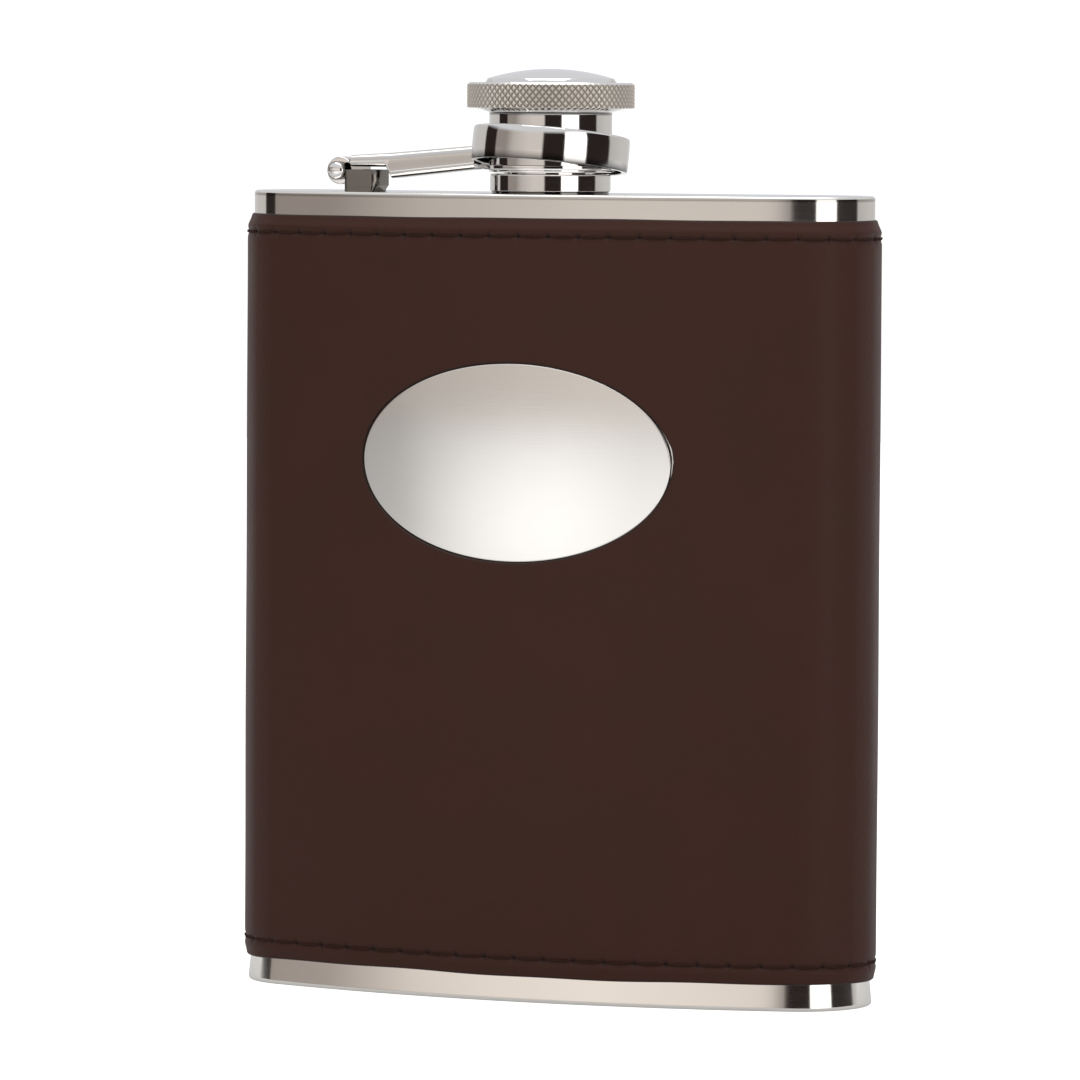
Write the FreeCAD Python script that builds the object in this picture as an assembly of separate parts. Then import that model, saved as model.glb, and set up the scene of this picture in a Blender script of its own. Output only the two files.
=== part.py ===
import FreeCAD, Part
import math
import os

# Leather-wrapped steel hip flask with a captive screw cap on a hinged arm. Millimetres, +Z up.
# The origin is on the underside of the foot, at the middle of the object's width and depth.
# The front, which carries the oval window, faces -Y, and the hinge stands on the -X shoulder.

Vec = FreeCAD.Vector
UP = Vec(0, 0, 1)

# Kidney section of the body: one wide front arc, two round ends and a hollow back.
BODY_HEIGHT = 106.8
FRONT_RADIUS = 134.6
END_RADIUS = 9.66
FRONT_HALF_ANGLE = math.radians(15.87)
BACK_APEX = 6.6            # how far the middle of the back lies behind the line of the end centres
END_Y = 2.4                # the line of the end centres
SHEET = 0.5                # wall of the rolled tube
PLATE = 0.6                # top and bottom plates
PLATE_ROUNDING = 0.4

# Oval panel, pressed outward from the front of the tube until it is almost flush with the leather.
PANEL_WIDTH = 43.7
PANEL_HEIGHT = 26.25
PANEL_X = -0.85            # it stands a little off the middle
PANEL_Z = 71.4
PANEL_RISE = 0.7

# Leather wrap.
LEATHER = 0.95
WRAP_BOTTOM = 3.45
WRAP_TOP = 103.65
WINDOW_GAP = 0.25          # between the leather and the oval panel inside it
SEAM_GAP = 0.3
HEM = 2.4                  # from the wrap's edge to its row of stitches
THREAD_RADIUS = 0.2
THREAD_LIFT = 0.02         # between the straight stitches and the leather under their middle
STITCH_LENGTH = 3.1
STITCH_PITCH = 4.2
STEPS_PER_STITCH = 20      # points along the hem for each stitch, to find its two ends
SEAM_STITCH_WIDTH = 4.0
SEAM_STITCH_PITCH = 4.2

# Neck. Heights in this block and the next three are measured up from the shoulder.
NECK_Y = -1.5
NECK_RADIUS = 8.0
NECK_HEIGHT = 2.6
SPOUT_RADIUS = 6.2
SPOUT_TOP = 5.6
MOUTH_RADIUS = 5.5
FLANGE_RADIUS = 9.2
FLANGE = 1.0

# Screw thread, coarse and one turn long.
PITCH = 2.0
THREAD_DEPTH = 0.5
THREAD_FOOT = 1.0
THREAD_CREST = 0.4
THREAD_ROOTING = 0.1       # how far the ridge is let into the wall that carries it
NECK_THREAD_START = 3.1
CAP_THREAD_START = 3.6

# Cap.
SHANK_RADIUS = 8.15
SHANK_BOTTOM = 2.8
CAP_BORE_RADIUS = 7.45
CAP_BORE_TOP = 7.2
WEB = 1.2
HEAD_UNDERSIDE = 10.8
HEAD_UNDERSIDE_RADIUS = 9.3
HEAD_RADIUS = 11.15
BAND_BOTTOM = 11.4
BAND_TOP = 14.4
RIM_TOP = 14.7
RIM_RADIUS = 10.8
CAVITY_RADIUS = 7.4
DISC_SEAT = 13.9
DISC_RADIUS = 8.75
DISC_EDGE_TOP = 15.1
DOME_TOP = 16.5
GASKET_RADIUS = 6.85
GASKET_HOLE_RADIUS = 4.0
GASKET = 1.5
GROOVE_RADIUS = 7.85
GROOVE_BOTTOM = 3.1
GROOVE_WIDTH = 0.7
RING_OUTER_RADIUS = 9.05
RING_PLAY = 0.03
RING_MOUTH = math.radians(24)

# Collar, which sits a little crooked because it is loose on the shank.
COLLAR_RADIUS = 10.45
COLLAR_HEIGHT = 4.5
COLLAR_MIDDLE = 5.8
COLLAR_BORE_RADIUS = 8.8
COLLAR_RECESS_RADIUS = 9.65
COLLAR_LIP = 0.6
COLLAR_ROLL = 6.5          # degrees about X, front edge up
COLLAR_PITCH = 2.8         # degrees about Y, +X edge down

# Hinge.
PIN_X = -30.0
PIN_HEIGHT = 2.75
PIN_RADIUS = 0.75
PIN_HEAD_RADIUS = 1.1
PIN_HEAD = 0.35
PRESS_GAP = 0.01
RUNNING_GAP = 0.05
BRACKET_LEFT = -28.9
BRACKET_RIGHT = -24.0
BRACKET_TOP = 2.9
BRACKET_HALF_WIDTH = 2.5
BRACKET_UNDERCUT = 0.8
CHEEK = 1.0
BRACKET_FLOOR = 0.6
BRACKET_WALL = 0.8
EAR_RADIUS = 1.25

# Arm.
ARM_HALF_WIDTH = 2.5
ARM_LEFT = -28.2
ARM_UNDERSIDE = 3.3
ARM_STEP_START = -22.9
ARM_STEP_END = -22.1
ARM_STEP_BOTTOM = 1.8
ARM_END = -6.0
ARM_END_BOTTOM = 3.1
ARM_LEFT_TOP = 4.8
ARM_END_TOP = 6.25
ARM_ROUNDING = 0.45
KNUCKLE_RADIUS = 1.85
TONGUE_HALF_WIDTH = 1.2
TONGUE_RIGHT = -26.5
TONGUE_DROP = 0.9          # how far the tongue reaches below the pin's axis

# Worked out from the sizes above.
END_X = (FRONT_RADIUS - END_RADIUS) * math.sin(FRONT_HALF_ANGLE)
FRONT_CENTRE_Y = END_Y + (FRONT_RADIUS - END_RADIUS) * math.cos(FRONT_HALF_ANGLE)
BACK_RADIUS = (END_X**2 + BACK_APEX**2 - END_RADIUS**2) / (2 * (END_RADIUS - BACK_APEX))
BACK_CENTRE_Y = END_Y + BACK_APEX + BACK_RADIUS
BACK_HALF_ANGLE = math.asin(END_X / (BACK_RADIUS + END_RADIUS))
SHOULDER = BODY_HEIGHT
NECK_AXIS = Vec(0, NECK_Y, 0)


def on_circle(centre_x, centre_y, radius, angle, z):
    """Point at an angle from +X on a level circle."""
    return Vec(centre_x + radius * math.cos(angle), centre_y + radius * math.sin(angle), z)


def level_arc(centre_x, centre_y, radius, start, end, z):
    """Edge of a level circle between two angles."""
    angles = (start, (start + end) / 2, end)
    points = [on_circle(centre_x, centre_y, radius, angle, z) for angle in angles]
    return Part.Arc(*points).toShape()


def section_wire(offset, z):
    """The kidney outline, grown outward by an offset, as four tangent arcs."""
    front_down = -math.pi / 2
    end = END_RADIUS + offset
    front = FRONT_RADIUS + offset
    back = BACK_RADIUS - offset
    right_start = front_down + FRONT_HALF_ANGLE
    right_end = math.pi / 2 + BACK_HALF_ANGLE
    edges = [
        level_arc(0, FRONT_CENTRE_Y, front, front_down - FRONT_HALF_ANGLE, right_start, z),
        level_arc(END_X, END_Y, end, right_start, right_end, z),
        level_arc(0, BACK_CENTRE_Y, back, front_down + BACK_HALF_ANGLE, front_down - BACK_HALF_ANGLE, z),
        level_arc(-END_X, END_Y, end, math.pi - right_end, math.pi - right_start, z),
    ]
    return Part.Wire(edges)


def section_solid(offset, bottom, top):
    """Kidney prism between two heights."""
    return Part.Face(section_wire(offset, bottom)).extrude(UP * (top - bottom))


def cylinder(radius, bottom, top):
    """Upright cylinder on the neck's axis, with heights from the shoulder."""
    return Part.makeCylinder(radius, top - bottom, NECK_AXIS + UP * (SHOULDER + bottom))


def turned(profile):
    """Solid turned on the neck's axis, from (radius, height above the shoulder) corners."""
    corners = [NECK_AXIS + Vec(radius, 0, SHOULDER + height) for radius, height in profile]
    face = Part.Face(Part.makePolygon(corners + corners[:1]))
    return face.revolve(NECK_AXIS, UP, 360)


def side_profile(corners, half_width):
    """Solid from (x, height above the shoulder) corners, as wide as two half widths about the arm's line."""
    points = [Vec(x, NECK_Y - half_width, SHOULDER + height) for x, height in corners]
    face = Part.Face(Part.makePolygon(points + points[:1]))
    return face.extrude(Vec(0, 2 * half_width, 0))


def across(radius, near, far):
    """Cylinder on the pin's axis between two distances from the arm's line."""
    start = Vec(PIN_X, NECK_Y + near, SHOULDER + PIN_HEIGHT)
    return Part.makeCylinder(radius, far - near, start, Vec(0, 1, 0))


def single(shape):
    """The one solid that a boolean result holds."""
    solids = shape.Solids
    assert len(solids) == 1, "expected one solid, got %d" % len(solids)
    return solids[0]


def oval_prism(margin):
    """Level prism with the panel's oval outline, grown by a margin, that passes out of the front."""
    oval = Part.Ellipse(Vec(0, 0, 0), PANEL_WIDTH / 2 + margin, PANEL_HEIGHT / 2 + margin).toShape()
    prism = Part.Face(Part.Wire(oval)).extrude(UP * 2 * FRONT_RADIUS)
    prism.rotate(Vec(0, 0, 0), Vec(1, 0, 0), 90)
    prism.translate(Vec(PANEL_X, 0, PANEL_Z))
    return prism


def pressed_section(offset, panel_margin):
    """Body prism, grown by an offset, with the oval panel standing out of its front."""
    half_height = PANEL_HEIGHT / 2 + LEATHER
    body = section_solid(offset, PLATE, BODY_HEIGHT - PLATE)
    panel = section_solid(offset + PANEL_RISE, PANEL_Z - half_height, PANEL_Z + half_height)
    return body.fuse(panel.common(oval_prism(panel_margin)))


def body_shell():
    return single(pressed_section(0, 0).cut(pressed_section(-SHEET, -SHEET)))


def plate(bottom, outer_face_z):
    """Full kidney plate whose outward edge is rounded."""
    solid = section_solid(0, bottom, bottom + PLATE)
    rim = [e for e in solid.Edges if all(abs(v.Z - outer_face_z) < 1e-6 for v in e.Vertexes)]
    return solid.makeFillet(PLATE_ROUNDING, rim)


def bottom_plate():
    return single(plate(0, 0))


def top_plate():
    solid = plate(BODY_HEIGHT - PLATE, BODY_HEIGHT)
    return single(solid.cut(cylinder(NECK_RADIUS, -2 * PLATE, PLATE)))


def leather_wrap():
    """Strip round the body, open where its ends meet at the middle of the back."""
    band = section_solid(LEATHER, WRAP_BOTTOM, WRAP_TOP).cut(section_solid(0, WRAP_BOTTOM, WRAP_TOP))
    gap = Part.makeBox(SEAM_GAP, FRONT_RADIUS, WRAP_TOP, Vec(-SEAM_GAP / 2, 0, 0))
    return single(band.cut(oval_prism(WINDOW_GAP)).cut(gap))


def hem_stitches(z):
    """Short rods that follow the wrap's outside, evenly spaced, all the way round."""
    sagitta = STITCH_LENGTH**2 / (8 * END_RADIUS)
    path = section_wire(LEATHER + THREAD_RADIUS + sagitta + THREAD_LIFT, z)
    count = round(path.Length / STITCH_PITCH)
    starts = [path.Length * i / count for i in range(count)]
    points = path.discretize(Distance=path.Length / (STEPS_PER_STITCH * count))
    travelled = [0.0]
    for a, b in zip(points, points[1:]):
        travelled.append(travelled[-1] + a.distanceToPoint(b))
    stitches = []
    for start in starts:
        ends = []
        for along in (start, start + STITCH_LENGTH):
            nearest = min(range(len(points)), key=lambda i: abs(travelled[i] - along))
            ends.append(points[nearest])
        run = ends[1] - ends[0]
        stitches.append(Part.makeCylinder(THREAD_RADIUS, run.Length, ends[0], run))
    return stitches


def seam_stitches():
    """Level stitches across the butt seam at the middle of the back."""
    low = WRAP_BOTTOM + 2 * HEM
    high = WRAP_TOP - 2 * HEM
    count = round((high - low) / SEAM_STITCH_PITCH)
    seam_y = BACK_CENTRE_Y - math.sqrt((BACK_RADIUS - LEATHER)**2 - (SEAM_STITCH_WIDTH / 2)**2)
    stitches = []
    for i in range(count + 1):
        z = low + (high - low) * i / count
        start = Vec(-SEAM_STITCH_WIDTH / 2, seam_y + THREAD_RADIUS + THREAD_LIFT, z)
        stitches.append(Part.makeCylinder(THREAD_RADIUS, SEAM_STITCH_WIDTH, start, Vec(1, 0, 0)))
    return stitches


def thread_ridge(wall_radius, inward, start):
    """One turn of right-hand thread that stands out of a wall, or into a bore."""
    side = -1 if inward else 1
    foot = wall_radius - side * THREAD_ROOTING
    crest = wall_radius + side * THREAD_DEPTH
    corners = [
        Vec(foot, 0, -THREAD_FOOT / 2),
        Vec(crest, 0, -THREAD_CREST / 2),
        Vec(crest, 0, THREAD_CREST / 2),
        Vec(foot, 0, THREAD_FOOT / 2),
    ]
    profile = Part.makePolygon(corners + corners[:1])
    helix = Part.makeHelix(PITCH, PITCH, wall_radius)
    ridge = Part.Wire(helix.Edges).makePipeShell([profile], True, True)
    ridge.translate(NECK_AXIS + UP * (SHOULDER + start))
    return ridge


def neck_spout():
    """Neck with a flange welded under the shoulder and a threaded spout on top."""
    chamfer = 0.3
    body = turned([
        (MOUTH_RADIUS, -PLATE - FLANGE),
        (FLANGE_RADIUS, -PLATE - FLANGE),
        (FLANGE_RADIUS, -PLATE),
        (NECK_RADIUS, -PLATE),
        (NECK_RADIUS, NECK_HEIGHT - chamfer),
        (NECK_RADIUS - chamfer, NECK_HEIGHT),
        (SPOUT_RADIUS, NECK_HEIGHT),
        (SPOUT_RADIUS, SPOUT_TOP - chamfer),
        (SPOUT_RADIUS - chamfer, SPOUT_TOP),
        (MOUTH_RADIUS, SPOUT_TOP),
    ])
    return single(body.fuse(thread_ridge(SPOUT_RADIUS, False, NECK_THREAD_START)))


def cap_head():
    """Knurled head, shank, threaded bore below the web and a hollow above it."""
    chamfer = 0.25
    body = turned([
        (CAP_BORE_RADIUS, SHANK_BOTTOM),
        (SHANK_RADIUS - chamfer, SHANK_BOTTOM),
        (SHANK_RADIUS, SHANK_BOTTOM + chamfer),
        (SHANK_RADIUS, GROOVE_BOTTOM),
        (GROOVE_RADIUS, GROOVE_BOTTOM),
        (GROOVE_RADIUS, GROOVE_BOTTOM + GROOVE_WIDTH),
        (SHANK_RADIUS, GROOVE_BOTTOM + GROOVE_WIDTH),
        (SHANK_RADIUS, HEAD_UNDERSIDE),
        (HEAD_UNDERSIDE_RADIUS, HEAD_UNDERSIDE),
        (HEAD_RADIUS, BAND_BOTTOM),
        (HEAD_RADIUS, BAND_TOP),
        (RIM_RADIUS, RIM_TOP),
        (DISC_RADIUS, RIM_TOP),
        (DISC_RADIUS, DISC_SEAT),
        (CAVITY_RADIUS, DISC_SEAT),
        (CAVITY_RADIUS, CAP_BORE_TOP + WEB),
        (0, CAP_BORE_TOP + WEB),
        (0, CAP_BORE_TOP),
        (CAP_BORE_RADIUS, CAP_BORE_TOP),
    ])
    return single(body.fuse(thread_ridge(CAP_BORE_RADIUS, True, CAP_THREAD_START)))


def cap_top_disc():
    """Disc with an upright edge and a shallow domed top."""
    rise = DOME_TOP - DISC_EDGE_TOP
    dome_radius = (DISC_RADIUS**2 + rise**2) / (2 * rise)
    edge = cylinder(DISC_RADIUS, DISC_SEAT, DOME_TOP)
    ball = Part.makeSphere(dome_radius, NECK_AXIS + UP * (SHOULDER + DOME_TOP - dome_radius))
    return single(edge.common(ball))


def cap_gasket():
    bottom = CAP_BORE_TOP - GASKET
    return single(cylinder(GASKET_RADIUS, bottom, CAP_BORE_TOP).cut(
        cylinder(GASKET_HOLE_RADIUS, bottom, CAP_BORE_TOP)))


def retaining_ring():
    """Flat snap ring with a mouth at the back, running in the shank's groove."""
    bottom = GROOVE_BOTTOM + RING_PLAY
    top = GROOVE_BOTTOM + GROOVE_WIDTH - RING_PLAY
    ring = cylinder(RING_OUTER_RADIUS, bottom, top).cut(cylinder(GROOVE_RADIUS + RING_PLAY, bottom, top))
    half_gap = RING_OUTER_RADIUS * math.sin(RING_MOUTH / 2)
    mouth = Part.makeBox(2 * half_gap, RING_OUTER_RADIUS, top - bottom,
                         NECK_AXIS + Vec(-half_gap, 0, SHOULDER + bottom))
    return single(ring.cut(mouth))


def sit_crooked(shape):
    """Tilt a shape about the collar's middle, as the loose collar sits."""
    middle = NECK_AXIS + UP * (SHOULDER + COLLAR_MIDDLE)
    shape.rotate(middle, Vec(1, 0, 0), -COLLAR_ROLL)
    shape.rotate(middle, Vec(0, 1, 0), COLLAR_PITCH)
    return shape


def collar_ring():
    """Collar with an inward lip at its top, which the retaining ring can't pass."""
    bottom = COLLAR_MIDDLE - COLLAR_HEIGHT / 2
    top = COLLAR_MIDDLE + COLLAR_HEIGHT / 2
    collar = cylinder(COLLAR_RADIUS, bottom, top).cut(cylinder(COLLAR_BORE_RADIUS, bottom, top))
    collar = collar.cut(cylinder(COLLAR_RECESS_RADIUS, bottom, top - COLLAR_LIP))
    return single(sit_crooked(collar))


def hinge_arm():
    """Arm with a tongue and knuckle at the hinge; its other end is brazed to the collar."""
    bar = side_profile([
        (ARM_LEFT, ARM_UNDERSIDE),
        (ARM_STEP_START, ARM_UNDERSIDE),
        (ARM_STEP_END, ARM_STEP_BOTTOM),
        (ARM_END, ARM_END_BOTTOM),
        (ARM_END, ARM_END_TOP),
        (ARM_LEFT, ARM_LEFT_TOP),
    ], ARM_HALF_WIDTH)
    long_edges = [e for e in bar.Edges if e.Length > 5 and abs(e.tangentAt(e.FirstParameter).y) < 1e-6
                  and e.CenterOfMass.z > SHOULDER + ARM_UNDERSIDE + 0.5]
    bar = bar.makeFillet(ARM_ROUNDING, long_edges)
    reach = COLLAR_HEIGHT * 2
    clear = cylinder(COLLAR_RADIUS, COLLAR_MIDDLE - reach, COLLAR_MIDDLE + reach)
    bar = bar.cut(sit_crooked(clear))
    tongue = side_profile([
        (PIN_X, PIN_HEIGHT - TONGUE_DROP),
        (TONGUE_RIGHT, PIN_HEIGHT - TONGUE_DROP),
        (TONGUE_RIGHT, ARM_LEFT_TOP - ARM_ROUNDING),
        (PIN_X, ARM_LEFT_TOP - ARM_ROUNDING),
    ], TONGUE_HALF_WIDTH)
    knuckle = across(KNUCKLE_RADIUS, -TONGUE_HALF_WIDTH, TONGUE_HALF_WIDTH)
    hole = across(PIN_RADIUS + RUNNING_GAP, -TONGUE_HALF_WIDTH, TONGUE_HALF_WIDTH)
    return single(bar.fuse([tongue, knuckle]).cut(hole))


def hinge_bracket():
    """Folded bracket: a floor, an end wall and two cheeks with ears for the pin."""
    profile = [
        (BRACKET_LEFT, 0),
        (BRACKET_RIGHT - BRACKET_UNDERCUT, 0),
        (BRACKET_RIGHT, BRACKET_UNDERCUT),
        (BRACKET_RIGHT, BRACKET_TOP),
        (BRACKET_LEFT, BRACKET_TOP),
    ]
    block = side_profile(profile, BRACKET_HALF_WIDTH)
    ears = across(EAR_RADIUS, -BRACKET_HALF_WIDTH, BRACKET_HALF_WIDTH)
    inner = BRACKET_HALF_WIDTH - CHEEK
    slot = side_profile([
        (PIN_X - 2 * EAR_RADIUS, BRACKET_FLOOR),
        (BRACKET_RIGHT - BRACKET_WALL, BRACKET_FLOOR),
        (BRACKET_RIGHT - BRACKET_WALL, PIN_HEIGHT + 2 * EAR_RADIUS),
        (PIN_X - 2 * EAR_RADIUS, PIN_HEIGHT + 2 * EAR_RADIUS),
    ], inner)
    hole = across(PIN_RADIUS + PRESS_GAP, -BRACKET_HALF_WIDTH, BRACKET_HALF_WIDTH)
    return single(block.fuse(ears).cut(slot).cut(hole))


def hinge_pin():
    """Plain pin with a peened head on each side of the bracket."""
    pin = across(PIN_RADIUS, -BRACKET_HALF_WIDTH, BRACKET_HALF_WIDTH)
    heads = [
        across(PIN_HEAD_RADIUS, -BRACKET_HALF_WIDTH - PIN_HEAD, -BRACKET_HALF_WIDTH),
        across(PIN_HEAD_RADIUS, BRACKET_HALF_WIDTH, BRACKET_HALF_WIDTH + PIN_HEAD),
    ]
    return single(pin.fuse(heads))


NODES = {
    "body_shell": body_shell,
    "bottom_plate": bottom_plate,
    "top_plate": top_plate,
    "leather_wrap": leather_wrap,
    "top_hem_stitching": lambda: Part.makeCompound(hem_stitches(WRAP_TOP - HEM)),
    "bottom_hem_stitching": lambda: Part.makeCompound(hem_stitches(WRAP_BOTTOM + HEM)),
    "back_seam_stitching": lambda: Part.makeCompound(seam_stitches()),
    "neck_spout": neck_spout,
    "hinge_bracket": hinge_bracket,
    "hinge_pin": hinge_pin,
    "hinge_arm": hinge_arm,
    "collar_ring": collar_ring,
    "retaining_ring": retaining_ring,
    "cap_head": cap_head,
    "cap_top_disc": cap_top_disc,
    "cap_gasket": cap_gasket,
}

os.makedirs("parts", exist_ok=True)
for name, build in NODES.items():
    shape = build()
    shape.exportStep("parts/%s.step" % name)
    print("%-22s solids %3d  volume %10.2f mm3  valid %s" % (
        name, len(shape.Solids), shape.Volume, shape.isValid()))
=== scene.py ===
# Looks of the leather-wrapped hip flask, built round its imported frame. Metres, +Z up, front towards -Y.
import math

import bpy
import bmesh
import numpy as np
from mathutils import Matrix, Vector


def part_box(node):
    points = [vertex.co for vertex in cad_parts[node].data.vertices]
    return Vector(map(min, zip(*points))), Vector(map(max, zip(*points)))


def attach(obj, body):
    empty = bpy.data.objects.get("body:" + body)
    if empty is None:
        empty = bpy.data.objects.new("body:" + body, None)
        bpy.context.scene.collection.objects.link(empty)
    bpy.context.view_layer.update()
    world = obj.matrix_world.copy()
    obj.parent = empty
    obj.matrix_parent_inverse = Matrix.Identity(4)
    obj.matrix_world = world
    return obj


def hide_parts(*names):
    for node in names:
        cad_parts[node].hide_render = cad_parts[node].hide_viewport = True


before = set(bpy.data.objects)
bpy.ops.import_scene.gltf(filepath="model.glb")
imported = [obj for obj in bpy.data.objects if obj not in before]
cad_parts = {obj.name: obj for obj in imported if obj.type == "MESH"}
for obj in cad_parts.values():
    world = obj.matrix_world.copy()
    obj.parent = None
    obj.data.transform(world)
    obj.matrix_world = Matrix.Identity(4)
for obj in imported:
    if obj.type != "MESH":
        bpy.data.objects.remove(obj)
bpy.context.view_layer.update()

MM = 0.001
TURN = 2 * math.pi


def half_width(name):
    """Half of a CAD node's width along X."""
    low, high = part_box(name)
    return (high.x - low.x) / 2


# Kidney section of the body, as in the CAD: a front arc, two round ends and a hollow back.
FRONT_RADIUS = 134.6 * MM
END_RADIUS = 9.66 * MM
FRONT_HALF_ANGLE = math.radians(15.87)
BACK_APEX = 6.6 * MM
END_Y = 2.4 * MM
END_X = (FRONT_RADIUS - END_RADIUS) * math.sin(FRONT_HALF_ANGLE)
FRONT_CENTRE_Y = END_Y + (FRONT_RADIUS - END_RADIUS) * math.cos(FRONT_HALF_ANGLE)
BACK_RADIUS = (END_X**2 + BACK_APEX**2 - END_RADIUS**2) / (2 * (END_RADIUS - BACK_APEX))
BACK_CENTRE_Y = END_Y + BACK_APEX + BACK_RADIUS
BACK_HALF_ANGLE = math.asin(END_X / (BACK_RADIUS + END_RADIUS))

# Sheet steel and leather.
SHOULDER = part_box("top_plate")[1].z
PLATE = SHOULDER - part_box("top_plate")[0].z
PLATE_ROUNDING = 0.4 * MM
SHEET = 0.5 * MM
SEAM_GRIME = 0.5
FOOT_FLARE = 0.45 * MM
FLARE_COVERED = 1.0 * MM
LEATHER = 0.95 * MM
WRAP_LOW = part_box("leather_wrap")[0].z
WRAP_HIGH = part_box("leather_wrap")[1].z
PANEL_HALF_WIDTH = 21.85 * MM
PANEL_HALF_HEIGHT = 13.125 * MM
PANEL_X = -0.85 * MM
PANEL_Z = 71.4 * MM
PANEL_RISE = 0.7 * MM
PANEL_ROUNDING = 0.14 * MM
PANEL_CROWN = 0.12 * MM
PANEL_LEAN = 0.0105
WINDOW_GAP = 0.03 * MM
WINDOW_SLIP = 0.36 * MM

# Stitching.
HEM = 2.4 * MM
SEAM_GAP = 0.3 * MM
STITCHES_ROUND = 48
FIRST_HOLE = 1.2 * MM
SEAM_STITCHES = 22
SEAM_REACH = 2.0 * MM

# Neck and cap, with heights above the shoulder.
NECK = (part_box("cap_head")[0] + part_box("cap_head")[1]) / 2
NECK_X, NECK_Y = NECK.x, NECK.y
NECK_RADIUS = 8.0 * MM
NECK_HEIGHT = 2.6 * MM
SPOUT_RADIUS = 6.2 * MM
SPOUT_TOP = 5.6 * MM
MOUTH_RADIUS = 5.5 * MM
FLANGE_RADIUS = 9.2 * MM
FLANGE = 1.0 * MM
THREAD_PITCH = 2.0 * MM
THREAD_DEPTH = 0.5 * MM
THREAD_FOOT = 1.0 * MM
THREAD_CREST = 0.4 * MM
NECK_THREAD_START = 3.1 * MM
CAP_THREAD_START = 3.6 * MM
SHANK_RADIUS = 8.15 * MM
SHANK_BOTTOM = 2.8 * MM
BORE_RADIUS = 7.45 * MM
BORE_TOP = 7.2 * MM
WEB = 1.2 * MM
GROOVE_RADIUS = 7.85 * MM
GROOVE_BOTTOM = 3.1 * MM
GROOVE_TOP = 3.8 * MM
UNDERSIDE = 10.8 * MM
UNDERSIDE_RADIUS = 9.3 * MM
HEAD_RADIUS = half_width("cap_head")
BAND_BOTTOM = 11.4 * MM
BAND_TOP = 14.4 * MM
RIM_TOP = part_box("cap_head")[1].z - SHOULDER
RIM_RADIUS = 10.8 * MM
CAVITY_RADIUS = 7.4 * MM
GASKET_HOLE = 4.0 * MM
DISC_SEAT = 13.9 * MM
DISC_RADIUS = half_width("cap_top_disc")
DISC_EDGE = 15.1 * MM
DISC_SLOPE = 0.35 * MM
DISC_SLOPE_HEIGHT = 0.45 * MM
DOME_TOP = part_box("cap_top_disc")[1].z - SHOULDER
KNURLS_ROUND = 78
KNURL_ROWS = 3
KNURL_DEPTH = 0.2 * MM

# Collar, retaining ring and hinge pin.
COLLAR_RADIUS = 10.45 * MM
COLLAR_HEIGHT = 4.5 * MM
COLLAR_MIDDLE = 5.8 * MM
COLLAR_BORE = 8.8 * MM
COLLAR_RECESS = 9.65 * MM
COLLAR_LIP = 0.6 * MM
COLLAR_BULGE = 0.06 * MM
COLLAR_ROLL = math.radians(6.5)
COLLAR_PITCH = math.radians(2.8)
RING_RADIUS = 9.05 * MM
RING_PLAY = 0.03 * MM
RING_MOUTH = math.radians(24)
PIN_X = -30.0 * MM
PIN_HEIGHT = 2.75 * MM
PIN_RADIUS = 0.75 * MM
PIN_HEAD_RADIUS = 1.1 * MM
PIN_HEAD = 0.35 * MM
CHEEK_REACH = 2.5 * MM

# Hinge bracket and arm.
BRACKET_LEFT = -28.9 * MM
BRACKET_RIGHT = -24.0 * MM
BRACKET_TOP = 2.9 * MM
BRACKET_UNDERCUT = 0.8 * MM
BRACKET_FLOOR = 0.6 * MM
BRACKET_WALL = 0.8 * MM
BRACKET_CORNER = 1.15 * MM
CHEEK = 1.0 * MM
EAR_RADIUS = 1.25 * MM
ARM_HALF_WIDTH = 2.5 * MM
ARM_LEFT = -28.2 * MM
ARM_UNDERSIDE = 3.3 * MM
ARM_STEP_START = -22.9 * MM
ARM_STEP_END = -22.1 * MM
ARM_STEP_BOTTOM = 1.8 * MM
ARM_END = -6.0 * MM
ARM_END_BOTTOM = 3.1 * MM
ARM_LEFT_TOP = 4.8 * MM
ARM_END_TOP = 6.25 * MM
ARM_ROUNDING = 0.95 * MM
ARM_LET_IN = 0.25 * MM     # how far the arm's end reaches into the collar's wall
KNUCKLE_RADIUS = 1.85 * MM
KNUCKLE_BORE = PIN_RADIUS + 0.05 * MM
TONGUE_HALF_WIDTH = 1.2 * MM
TONGUE_RIGHT = -26.5 * MM
TONGUE_DROP = 0.9 * MM

# Studio.
VIEW_AZIMUTH = math.radians(22.1)
VIEW_ELEVATION = math.radians(3.4)
VIEW_DISTANCE = 1.03
VIEW_LENS = 256.7
SENSOR_WIDTH = 36
VIEW_ROLL = math.radians(0.36)
VIEW_AIM = Vector((-2.71, 2.31, 60.4)) * MM
FLOOR_RADIUS = 1.6


def placed(name, data):
    """A new object in the scene."""
    made = bpy.data.objects.new(name, data)
    bpy.context.scene.collection.objects.link(made)
    return made


def aim(thing, azimuth, elevation, distance, roll=0.0):
    """Put a camera or a lamp at a distance from the middle of the flask, turned towards it."""
    away = Vector((
        math.sin(azimuth) * math.cos(elevation),
        -math.cos(azimuth) * math.cos(elevation),
        math.sin(elevation),
    ))
    thing.location = VIEW_AIM + away * distance
    thing.rotation_mode = "QUATERNION"
    level = (-away).to_track_quat("-Z", "Y")
    thing.rotation_quaternion = level @ Matrix.Rotation(roll, 3, "Z").to_quaternion()


def add_camera():
    """Long lens in front, a little to the right and a little above the middle of the flask."""
    data = bpy.data.cameras.new("camera")
    data.lens = VIEW_LENS
    data.sensor_width = SENSOR_WIDTH
    camera = placed("camera", data)
    aim(camera, VIEW_AZIMUTH, VIEW_ELEVATION, VIEW_DISTANCE, VIEW_ROLL)
    bpy.context.scene.camera = camera


add_camera()


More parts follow.
